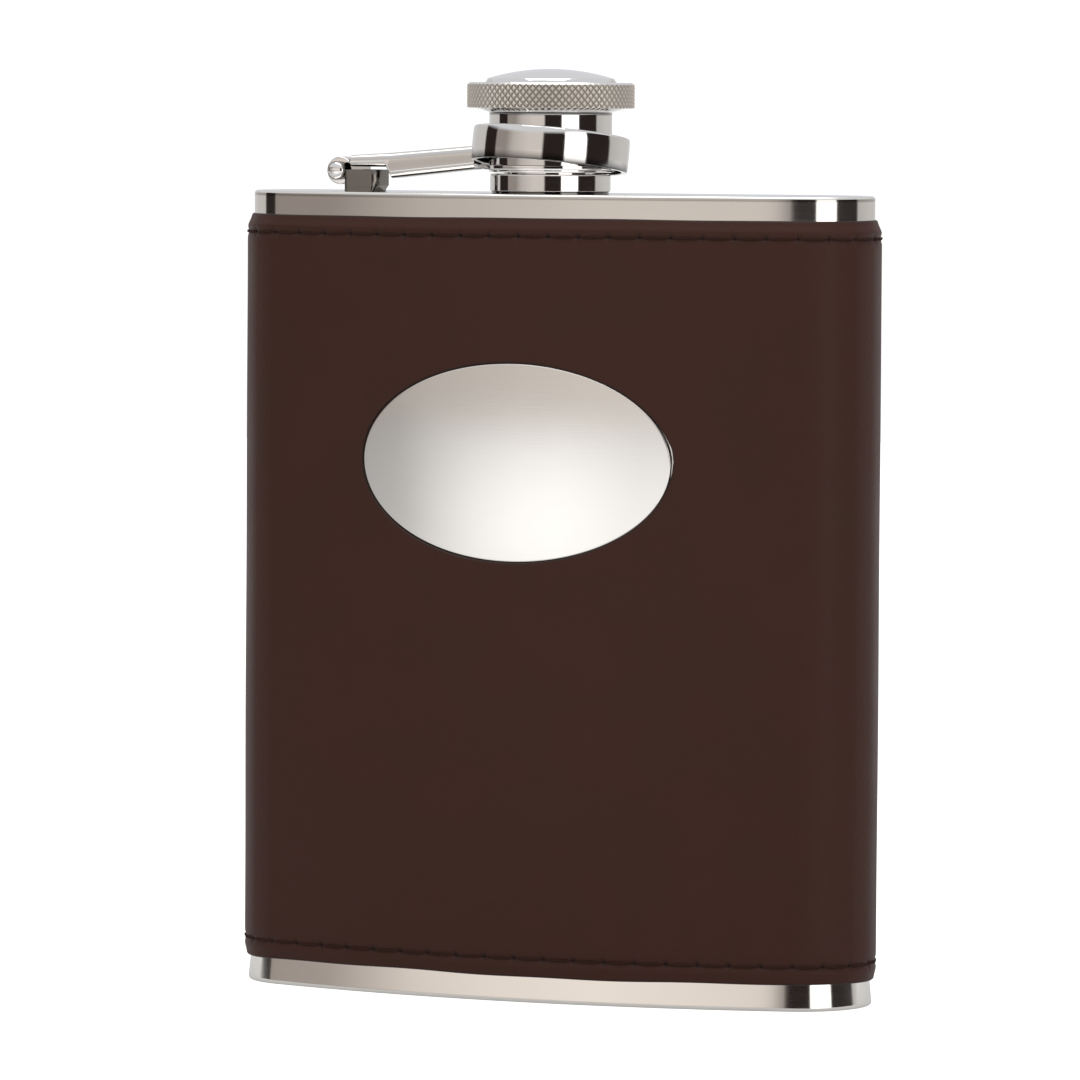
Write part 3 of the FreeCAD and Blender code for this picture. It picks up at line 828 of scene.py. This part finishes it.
def neck():
    """Neck with its welded flange below, and the threaded spout with rounded lips."""
    relief = thread_ridge(SPOUT_RADIUS, NECK_HEIGHT, SPOUT_TOP, NECK_THREAD_START, 1)
    bead = 0.25 * MM
    groove = 0.22 * MM
    profile = rounded([
        (MOUTH_RADIUS, -PLATE - FLANGE, 0), (FLANGE_RADIUS, -PLATE - FLANGE, bead),
        (FLANGE_RADIUS, -PLATE, bead), (NECK_RADIUS, -PLATE, 0), (NECK_RADIUS, -groove / 2, 0),
        (NECK_RADIUS - groove, 0, 0), (NECK_RADIUS - groove, groove, 0),
        (NECK_RADIUS, 1.6 * groove, groove / 3), (NECK_RADIUS, NECK_HEIGHT, bead),
        (SPOUT_RADIUS, NECK_HEIGHT, 0)])
    profile += wall(SPOUT_RADIUS, NECK_HEIGHT + 0.05 * MM, SPOUT_TOP - bead, 40)
    lip = [(SPOUT_RADIUS, SPOUT_TOP - 2 * bead, 0), (SPOUT_RADIUS, SPOUT_TOP, bead),
           (MOUTH_RADIUS, SPOUT_TOP, bead), (MOUTH_RADIUS, SPOUT_TOP - 2 * bead, 0)]
    profile += rounded(lip)[1:]
    part = turned(profile, relief=relief)
    radius, height = np.hypot(part[0][:, 0], part[0][:, 1]), part[0][:, 2]
    # Painted shade in the groove at the neck's foot.
    grime = (radius > SPOUT_RADIUS + THREAD_DEPTH) & (np.abs(height - groove / 2) < groove)
    return add_piece("neck", raised(part), POLISHED, "polished_steel", "flask", ["neck_spout"], grime=grime)


def knurl(angle, height):
    """Depth under the crests of a diamond knurl with slightly flattened crests."""
    column = angle * KNURLS_ROUND / TURN
    row = (height - BAND_BOTTOM) / (BAND_TOP - BAND_BOTTOM) * KNURL_ROWS
    across = np.abs((column + 0.5) % 1 - 0.5)
    up = np.abs((row + 0.5) % 1 - 0.5)
    own = 2 * (across + up)
    share = np.minimum(own, 2 - own)
    return KNURL_DEPTH * np.clip((share - 0.2) / 0.8, 0, 1)


def cap_head():
    """Knurled head on a polished shank, bored and threaded from below."""
    columns_each = 6
    steps = KNURLS_ROUND * columns_each
    edge = 0.2 * MM
    bore = rounded([(0, BORE_TOP, 0), (BORE_RADIUS, BORE_TOP, edge), (BORE_RADIUS, BORE_TOP - 3 * edge, 0)])
    bore += wall(BORE_RADIUS, BORE_TOP - 3 * edge, SHANK_BOTTOM + 2 * edge, 34)[1:]
    shank = rounded([
        (BORE_RADIUS, SHANK_BOTTOM + 2 * edge, 0), (BORE_RADIUS, SHANK_BOTTOM, edge / 2),
        (SHANK_RADIUS, SHANK_BOTTOM, edge / 2), (SHANK_RADIUS, GROOVE_BOTTOM, 0),
        (GROOVE_RADIUS, GROOVE_BOTTOM, 0), (GROOVE_RADIUS, GROOVE_TOP, 0), (SHANK_RADIUS, GROOVE_TOP, 0),
        (SHANK_RADIUS, UNDERSIDE - 2.5 * edge, 0), (SHANK_RADIUS, UNDERSIDE, edge),
        (UNDERSIDE_RADIUS, UNDERSIDE, edge), (HEAD_RADIUS - KNURL_DEPTH, BAND_BOTTOM - edge / 2, 0)])[1:]
    band_rows = round(KNURL_ROWS * columns_each)
    band = wall(HEAD_RADIUS, BAND_BOTTOM, BAND_TOP, band_rows)
    top = rounded([
        (HEAD_RADIUS - KNURL_DEPTH, BAND_TOP + edge / 2, 0), (RIM_RADIUS, RIM_TOP, edge / 2),
        (DISC_RADIUS + 0.15 * MM, RIM_TOP, edge / 2), (DISC_RADIUS + 0.02 * MM, DISC_SEAT, 0),
        (CAVITY_RADIUS, DISC_SEAT, edge), (CAVITY_RADIUS, BORE_TOP + WEB, edge), (0, BORE_TOP + WEB, 0)])
    thread_relief = thread_ridge(BORE_RADIUS, SHANK_BOTTOM, BORE_TOP, CAP_THREAD_START, -1)

    def relief(angle, radius, height):
        on_band = np.abs(radius - HEAD_RADIUS) < 1e-6
        return thread_relief(angle, radius, height) - on_band * knurl(angle, height)

    profile = bore + shank + band + top
    points, faces = turned(profile, steps, relief, closed=False)
    first = len(bore + shank)
    split = []
    for face in faces:
        row, column = divmod(min(face), steps)
        if first <= row < first + band_rows:
            quarter = columns_each // 2
            rising = ((row - first) // quarter + column // quarter) % 2
            a, b, c, d = face
            split += [[a, b, d], [b, c, d]] if rising == 0 else [[a, b, c], [a, c, d]]
        else:
            split.append(face)
    ring_radius, ring_height = np.array(profile).T
    in_band = (np.abs(ring_radius - HEAD_RADIUS) < 1e-6)[:, None] & np.ones(steps, bool)
    depth = knurl(TURN * np.arange(steps) / steps, ring_height[:, None]) / KNURL_DEPTH
    # Painted shade: darker deeper in the knurl's valleys, and in the corner under the head.
    corner = (np.abs(ring_height - UNDERSIDE) < 1.3 * edge) & (ring_radius < SHANK_RADIUS + 2 * edge)
    grime = np.maximum(0.75 * in_band * depth**2, corner[:, None])
    return add_piece("knurled_cap", raised((points, split)), POLISHED, "polished_steel", "cap", ["cap_head"],
                     sharp=20, knurled=in_band.ravel(), grime=grime.ravel())


def top_disc():
    """Domed disc with a sloping edge, let into the head's rim."""
    rise = DOME_TOP - DISC_EDGE
    ball = (DISC_RADIUS**2 + rise**2) / (2 * rise)
    profile = rounded([(0, DISC_SEAT, 0), (DISC_RADIUS, DISC_SEAT, 0.05 * MM),
                       (DISC_RADIUS, DISC_EDGE - DISC_SLOPE_HEIGHT, 0)])
    limit = math.asin((DISC_RADIUS - DISC_SLOPE) / ball)
    profile += [(ball * math.sin(a), DOME_TOP - ball * (1 - math.cos(a))) for a in np.linspace(limit, 0, 24)]
    part = raised(turned(profile, closed=False))
    return add_piece("domed_disc", part, POLISHED, "polished_steel", "cap", ["cap_top_disc"])


def ring_section(inner, outer, low, high, edge):
    """Profile of a flat ring with four rounded edges."""
    middle = (low + high) / 2
    return rounded([(inner, middle, 0), (inner, low, edge), (outer, low, edge), (outer, high, edge),
                    (inner, high, edge), (inner, middle, 0)])[:-1]


def gasket():
    """Rubber seal under the cap's web."""
    low, high = (corner.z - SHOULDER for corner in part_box("cap_gasket"))
    profile = ring_section(GASKET_HOLE, half_width("cap_gasket"), low, high, 0.3 * MM)
    return add_piece("gasket", raised(turned(profile)), RUBBER, "gasket", "cap", ["cap_gasket"])


def snap_ring():
    """Flat retaining ring with its mouth at the back."""
    profile = ring_section(GROOVE_RADIUS + RING_PLAY, RING_RADIUS, GROOVE_BOTTOM + RING_PLAY,
                           GROOVE_TOP - RING_PLAY, 0.1 * MM)
    start = math.pi / 2 + RING_MOUTH / 2
    part = raised(turned(profile, start=start, sweep=TURN - RING_MOUTH))
    return add_piece("snap_ring", part, POLISHED, "polished_steel", "slip_ring", ["retaining_ring"])


def collar():
    """Loose collar, tilted on the shank, with an inward lip at its top."""
    low, high, edge = -COLLAR_HEIGHT / 2, COLLAR_HEIGHT / 2, 0.3 * MM
    inside = 0.1 * MM
    profile = rounded([
        (COLLAR_RADIUS, 0, 0), (COLLAR_RADIUS, high / 2, 0), (COLLAR_RADIUS, high, edge),
        (COLLAR_BORE, high, inside), (COLLAR_BORE, high - COLLAR_LIP, inside),
        (COLLAR_RECESS, high - COLLAR_LIP, inside), (COLLAR_RECESS, low, inside),
        (COLLAR_RADIUS, low, inside), (COLLAR_RADIUS, low / 2, 0), (COLLAR_RADIUS, 0, 0)])[:-1]
    points, faces = turned(profile)
    bulge = COLLAR_BULGE * (1 - (points[:, 2] / high) ** 2)
    reach = np.hypot(points[:, 0], points[:, 1])
    outside = reach > COLLAR_RADIUS - inside
    points[:, :2] *= (1 + outside * (bulge - COLLAR_BULGE) / reach)[:, None]
    # Painted shade in the inner recess and along the bottom rim.
    recess = (reach < COLLAR_RADIUS - inside / 2) & (points[:, 2] < high - COLLAR_LIP)
    grime = recess | (points[:, 2] < low + 1.5 * inside)
    tilt = Matrix.Rotation(COLLAR_PITCH, 3, "Y") @ Matrix.Rotation(-COLLAR_ROLL, 3, "X")
    points = points @ np.array(tilt).T + np.array([NECK_X, NECK_Y, SHOULDER + COLLAR_MIDDLE])
    return add_piece("collar", (points, faces), POLISHED, "polished_steel", "arm", ["collar_ring"],
                     grime=grime)


def pin():
    """Hinge pin with peened, domed heads."""
    reach = CHEEK_REACH + PIN_HEAD
    dome = [(PIN_HEAD_RADIUS * math.cos(a), CHEEK_REACH + PIN_HEAD * math.sin(a))
            for a in np.linspace(0, math.pi / 2, 8)]
    dome[-1] = (0, reach)
    half = [(PIN_RADIUS, 0), (PIN_RADIUS, CHEEK_REACH)] + dome
    profile = [(radius, -height) for radius, height in half[::-1]] + half[1:]
    points, faces = turned(profile, steps=40, closed=False)
    points = points[:, [0, 2, 1]] + np.array([PIN_X, NECK_Y, SHOULDER + PIN_HEIGHT])
    return add_piece("pin", (points, faces), POLISHED, "polished_steel", "flask", ["hinge_pin"])


def arm():
    """Tapered bar with rounded edges, brazed to the collar, with a tongue and a knuckle at the hinge."""
    underside = ((ARM_LEFT, ARM_UNDERSIDE), (ARM_STEP_START, ARM_UNDERSIDE), (ARM_STEP_END, ARM_STEP_BOTTOM),
                 (ARM_END, ARM_END_BOTTOM))
    topside = ((ARM_LEFT, ARM_LEFT_TOP), (ARM_END, ARM_END_TOP))
    nose = 0.35 * MM
    rings = []
    for x in [*(ARM_LEFT + nose * (1 - np.cos(np.linspace(0, math.pi / 2, 5)))),
              ARM_STEP_START, ARM_STEP_END, ARM_END]:
        low, high = (np.interp(x, *zip(*side)) for side in (underside, topside))
        tuck = nose - math.sqrt(max(nose**2 - max(ARM_LEFT + nose - x, 0) ** 2, 0))
        low, high, wide = low + tuck, high - tuck, ARM_HALF_WIDTH - tuck
        turn = min(ARM_ROUNDING, 0.45 * (high - low))
        section = rounded([(0, low, 0), (wide, low, turn), (wide, high, turn), (-wide, high, turn),
                           (-wide, low, turn), (0, low, 0)])[:-1]
        rings.append([(x, y, z) for y, z in section])
    rings = np.array(rings)
    step_end, end = rings[-2], rings[-1]
    hold = COLLAR_RADIUS - ARM_LET_IN
    end[:, 0] = -np.sqrt(hold**2 - end[:, 1] ** 2) + (end[:, 2] - COLLAR_MIDDLE) * math.sin(COLLAR_PITCH)
    between = step_end + (end - step_end) * np.linspace(0, 1, 6)[1:-1, None, None]
    rings = np.concatenate([rings[:-1], between, rings[-1:]])
    bar = capped(sheet_of(rings, around=True), rings.shape[1])
    tongue_left = PIN_X + KNUCKLE_BORE
    tongue = slab(tongue_left, TONGUE_RIGHT, PIN_HEIGHT - TONGUE_DROP, ARM_LEFT_TOP - ARM_ROUNDING,
                  TONGUE_HALF_WIDTH)
    # Painted shade along the bar's underside.
    underneath = (rings[:, :, 2] < rings[:, :1, 2] + 0.36 * ARM_ROUNDING).ravel()
    knuckle = pierced_disc(KNUCKLE_RADIUS, KNUCKLE_BORE, -TONGUE_HALF_WIDTH, TONGUE_HALF_WIDTH)
    part = joined([bar, tongue, knuckle])
    grime = np.concatenate([0.75 * underneath, np.zeros(len(part[0]) - len(underneath))])
    return add_piece("hinge_bar", on_arm_line(part), DARKER_STEEL, "polished_steel", "arm", ["hinge_arm"],
                     grime=grime)


def slab(left, right, low, high, half_width):
    """Box on the arm's line."""
    corners = ((left, low), (right, low), (right, high), (left, high))
    sides = np.array([[(x, y, z) for x, z in corners] for y in (-half_width, half_width)])
    return capped(sheet_of(sides, around=True), len(corners))


def pierced_disc(radius, bore, near, far):
    """Disc with rounded rims about the pin's axis, and a hole for the pin."""
    rim = 0.15 * MM
    profile = rounded([(bore, near, 0), (radius, near, rim), (radius, far, rim), (bore, far, 0)])
    points, faces = turned(profile, steps=48)
    return points[:, [0, 2, 1]] + np.array([PIN_X, 0, PIN_HEIGHT]), faces


def on_arm_line(part):
    """A part moved from the arm's line and the shoulder's height to its place."""
    return part[0] + np.array([0, NECK_Y, SHOULDER]), part[1]


def bracket():
    """Folded bracket: an end wall and two cheeks with rounded corners, a floor, and ears for the pin."""
    inner = CHEEK_REACH - CHEEK
    wall_inside = BRACKET_RIGHT - BRACKET_WALL
    small = 0.12 * MM
    outline = rounded([
        (BRACKET_LEFT, -inner, 0), (BRACKET_LEFT, -CHEEK_REACH, BRACKET_CORNER / 2),
        (BRACKET_RIGHT, -CHEEK_REACH, BRACKET_CORNER), (BRACKET_RIGHT, CHEEK_REACH, BRACKET_CORNER),
        (BRACKET_LEFT, CHEEK_REACH, BRACKET_CORNER / 2), (BRACKET_LEFT, inner, 0),
        (wall_inside, inner, small), (wall_inside, -inner, small), (BRACKET_LEFT, -inner, 0)], steps=6)[:-1]
    levels = ((0, 0), (BRACKET_UNDERCUT, 0), (BRACKET_TOP / 2, 0), (BRACKET_TOP - small, 0),
              (BRACKET_TOP - 0.3 * small, 0.3 * small), (BRACKET_TOP, small))
    middle = np.array([(BRACKET_LEFT + BRACKET_RIGHT) / 2, 0])
    rows = []
    for height, tuck in levels:
        plan = np.array(outline)
        outside = (np.abs(plan[:, 1]) > inner + 0.01 * MM) | (plan[:, 0] > wall_inside + 0.01 * MM)
        span = np.abs(plan - middle).max(axis=0)
        plan = np.where(outside[:, None], middle + (plan - middle) * (1 - tuck / span), plan)
        limit = BRACKET_RIGHT - BRACKET_UNDERCUT + height
        rows.append([(min(x, limit), y, height) for x, y in plan])
    walls = capped(sheet_of(np.array(rows), around=True), len(outline))
    floor = slab(BRACKET_LEFT, wall_inside, 0, BRACKET_FLOOR, inner)
    ears = [pierced_disc(EAR_RADIUS, PIN_RADIUS, near, near + CHEEK) for near in (-CHEEK_REACH, inner)]
    part = on_arm_line(joined([walls, floor] + ears))
    # The bracket's dark steel is partly its own dull finish and partly painted shade from the arm above.
    return add_piece("folded_bracket", part, DULL_AND_SHADED, "satin_steel", "flask", ["hinge_bracket"])


# Studio.
def share_round(tree, place):
    """Bearing of a place seen from above, with -180 degrees as 0 and 180 as 1. The camera's side is at 0."""
    right = (math.cos(VIEW_AZIMUTH), math.sin(VIEW_AZIMUTH), 0)
    front = (math.sin(VIEW_AZIMUTH), -math.cos(VIEW_AZIMUTH), 0)
    along = []
    for side in (right, front):
        dot = node(tree, "ShaderNodeVectorMath", {0: place, 1: side}, operation="DOT_PRODUCT")
        along.append(dot.outputs["Value"])
    return spread(tree, calculate(tree, "ARCTAN2", *along), 0, 1, -math.pi, math.pi)


def ramp_of(tree, share, stops):
    """Ramp through (degrees, colour or strength) stops from -180 to 180."""
    made = node(tree, "ShaderNodeValToRGB", {"Fac": share})
    elements = made.color_ramp.elements
    while len(elements) < len(stops):
        elements.new(0.5)
    for element, (degrees, value) in zip(elements, stops):
        element.position = (degrees + 180) / 360
        element.color = (*value, 1) if isinstance(value, tuple) else (value, value, value, 1)
    return made.outputs["Color"]


def elevation_step(tree, height, start, end):
    """0 below one elevation in degrees and 1 above another, from a direction's Z."""
    return spread(tree, height, 0, 1, math.sin(math.radians(start)), math.sin(math.radians(end)))


def add_world():
    """White backdrop for the camera. Reflections see a studio of dark screens, a softbox and beige walls.

    A brighter strip runs low along the left walls, and everything fades to haze and then white above."""
    world = bpy.data.worlds.new("studio")
    bpy.context.scene.world = world
    world.use_nodes = True
    tree = world.node_tree
    tree.nodes.clear()
    direction = node(tree, "ShaderNodeTexCoord").outputs["Generated"]
    height = node(tree, "ShaderNodeSeparateXYZ", {"Vector": direction}).outputs["Z"]
    share = share_round(tree, direction)
    pale, beige, tan = (0.585, 0.57, 0.555), (0.67, 0.62, 0.58), (0.30, 0.265, 0.245)
    dark, light, cool = (0.022, 0.016, 0.015), (2.0, 1.98, 1.94), (0.70, 0.715, 0.75)
    grey, fawn = (0.5, 0.49, 0.475), (0.52, 0.48, 0.45)
    walls = ramp_of(tree, share, (
        (-180, cool), (-140, pale), (-114, pale), (-112, dark), (-90, dark), (-88, tan), (-70, tan),
        (-57, fawn), (-34, beige), (-13, beige), (-10, dark), (20, dark), (22, light), (53, light),
        (55, dark), (94, dark), (98, grey), (128, pale), (150, pale), (180, cool)))
    rising = elevation_step(tree, height, 1, 4)
    falling = calculate(tree, "SUBTRACT", 1.0, elevation_step(tree, height, 6.2, 8.5))
    strip = ramp_of(tree, share, (
        (-180, 0.0), (-89, 0.0), (-86, 0.5), (-72, 0.53), (-57, 0.64), (-50, 0.62), (-34, 0.46), (-13, 0.25),
        (-10, 0.0), (180, 0.0)))
    extra = calculate(tree, "MULTIPLY", strip, calculate(tree, "MINIMUM", rising, falling))
    lit = calculate(tree, "ADD", 1.0, extra)
    upward = node(tree, "ShaderNodeVectorMath", {0: walls, 3: lit}, operation="SCALE").outputs["Vector"]
    hazy = blend_colour(tree, elevation_step(tree, height, 14, 19), upward, (0.69, 0.70, 0.725))
    dome = blend_colour(tree, elevation_step(tree, height, 50, 64), hazy, (1.1, 1.09, 1.07))
    ray = node(tree, "ShaderNodeLightPath").outputs["Is Camera Ray"]
    seen = blend_colour(tree, ray, dome, (1.05, 1.05, 1.05))
    background = node(tree, "ShaderNodeBackground", {"Color": seen, "Strength": 1.0})
    node(tree, "ShaderNodeOutputWorld", {"Surface": background.outputs["Background"]})


def add_floor():
    """Pale disc under the flask whose glow is painted light: white to the camera, while reflections see
    painted shade near the flask and a dimmer glow on the left.
    """
    mesh = bpy.data.meshes.new("floor")
    angles = np.linspace(0, TURN, 128, endpoint=False)
    rim = [(FLOOR_RADIUS * math.cos(a), FLOOR_RADIUS * math.sin(a), 0) for a in angles]
    mesh.from_pydata(rim, [], [list(range(len(rim)))])
    material, tree, surface, place = new_material("pale_floor")
    paper = noise(tree, place, 400, detail=3)
    tone = blend_colour(tree, paper, [0.4] * 3, [0.42] * 3)
    away = node(tree, "ShaderNodeVectorMath", {0: place}, operation="LENGTH").outputs["Value"]
    beside = ramp_of(tree, share_round(tree, place), (
        (-180, 0.7), (-125, 0.6), (-100, 0.15), (-66, 0.03), (-61, 0.1), (-56, 0.34), (-50, 0.57),
        (-44, 0.71), (-38, 0.76), (-32, 0.67), (-27, 0.58), (-10, 0.55), (180, 0.7)))
    further = ramp_of(tree, spread(tree, away, 0, 1, 0, FLOOR_RADIUS), (
        (-180, 1.04), (-34, 1.04), (-7, 1.01), (29, 0.93), (76, 0.84), (142, 0.62), (180, 0.49)))
    far = calculate(tree, "MULTIPLY", beside, further)
    lamp = node(tree, "ShaderNodeMix", {0: spread(tree, away, 0, 1, 0.3, 0.55), 2: 0.22, 3: far})
    ray = node(tree, "ShaderNodeLightPath").outputs["Is Camera Ray"]
    seen = node(tree, "ShaderNodeMix", {0: ray, 2: lamp.outputs[0], 3: 0.9})
    feed(tree, surface, {"Base Color": tone, "Roughness": 0.7, "Emission Color": (1, 1, 1, 1),
                         "Emission Strength": seen.outputs[0]})
    mesh.materials.append(material)
    placed("floor", mesh)


def add_softbox():
    """Square area light overhead."""
    data = bpy.data.lights.new("overhead", "AREA")
    data.shape = "SQUARE"
    data.size = 1.4
    data.energy = 8
    aim(placed("overhead", data), math.radians(10), math.radians(80), 1.3)


sleeve = leather_sleeve()
threads = [
    hem_thread("hem_thread_top", WRAP_HIGH - HEM, "top_hem_stitching"),
    hem_thread("hem_thread_bottom", WRAP_LOW + HEM, "bottom_hem_stitching"),
    seam_thread(),
]
tube = body_tube()
for build in (foot_plate, shoulder_plate, neck, cap_head, top_disc, gasket, snap_ring, collar, pin, arm,
              bracket):
    build()
add_world()
add_floor()
add_softbox()
bpy.context.scene.view_settings.view_transform = "Standard"
